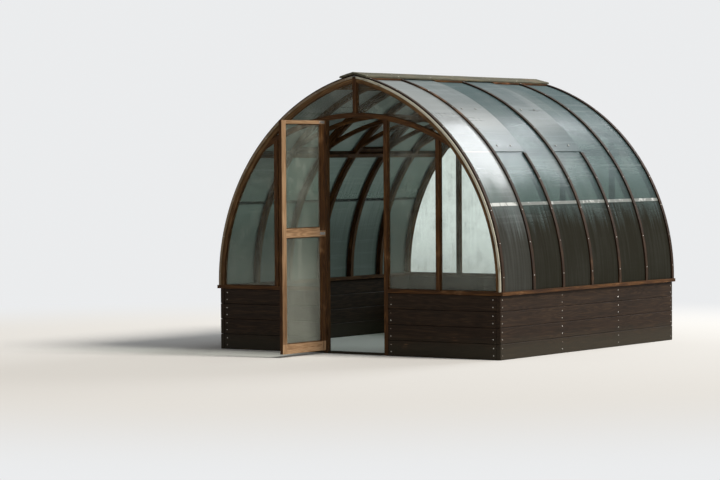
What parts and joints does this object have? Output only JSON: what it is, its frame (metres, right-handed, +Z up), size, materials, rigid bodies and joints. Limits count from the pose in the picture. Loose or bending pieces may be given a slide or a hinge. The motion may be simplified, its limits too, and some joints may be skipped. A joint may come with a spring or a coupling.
{
  "type": "arched greenhouse",
  "caption": "Walk-in garden greenhouse: bent timber arches under curved clear sheets, glazed gables, roof vents, low boarded base wall and a hinged glazed door.",
  "frame": {"origin": "on the ground, at the middle of the underside of the threshold board in the doorway", "axes": "+X to the right across the front, +Y back along the ridge, +Z up; the front gable faces -Y"},
  "size_m": [3.0216, 3.757, 2.4615],
  "materials": {
    "stained_wood": "satin",
    "base_boards": "matte",
    "weathered_wood": "matte",
    "pale_trim": "matte",
    "roof_sheet": "gloss",
    "pane": "gloss",
    "joint_strip": "satin",
    "hinge_steel": "satin"
  },
  "bodies": {
    "house": {"apex_boards": "stained_wood", "arch_1": "stained_wood", "arch_2": "stained_wood", "arch_3": "stained_wood", "arch_4": "stained_wood", "arch_5": "stained_wood", "arch_6": "stained_wood", "arch_7": "stained_wood", "back_panes": "pane", "back_posts": "stained_wood", "base_back": "base_boards", "base_front_left": "base_boards", "base_front_right": "base_boards", "base_left": "base_boards", "base_right": "base_boards", "battens_left": "stained_wood", "battens_right": "stained_wood", "collar_ties": "stained_wood", "end_plates": "stained_wood", "end_sheets_left": "roof_sheet", "end_sheets_right": "roof_sheet", "end_trims": "pale_trim", "front_panes": "pane", "front_posts": "stained_wood", "hinge_plates": "hinge_steel", "joint_strips": "joint_strip", "king_posts": "stained_wood", "lower_sheets_left": "roof_sheet", "lower_sheets_right": "roof_sheet", "purlins": "stained_wood", "ridge_beam": "stained_wood", "ridge_cap_left": "weathered_wood", "ridge_cap_right": "weathered_wood", "side_plates": "stained_wood", "threshold": "stained_wood", "top_battens": "stained_wood", "vent_frames_left": "stained_wood", "vent_frames_right": "stained_wood", "vent_sheets_left": "roof_sheet", "vent_sheets_right": "roof_sheet", "vented_sheets_left": "roof_sheet", "vented_sheets_right": "roof_sheet"},
    "door": {"door_stiles": "stained_wood", "door_rails": "stained_wood", "door_ledge": "stained_wood", "door_panes": "pane", "hinge_leaves": "hinge_steel"}
  },
  "joints": [
    {"name": "door_swing", "type": "hinge", "parent": "house", "child": "door", "pos_m": [-0.322, -0.0675, 1.036], "axis": [0, 0, 1], "range_deg": [-45, 90]}
  ]
}
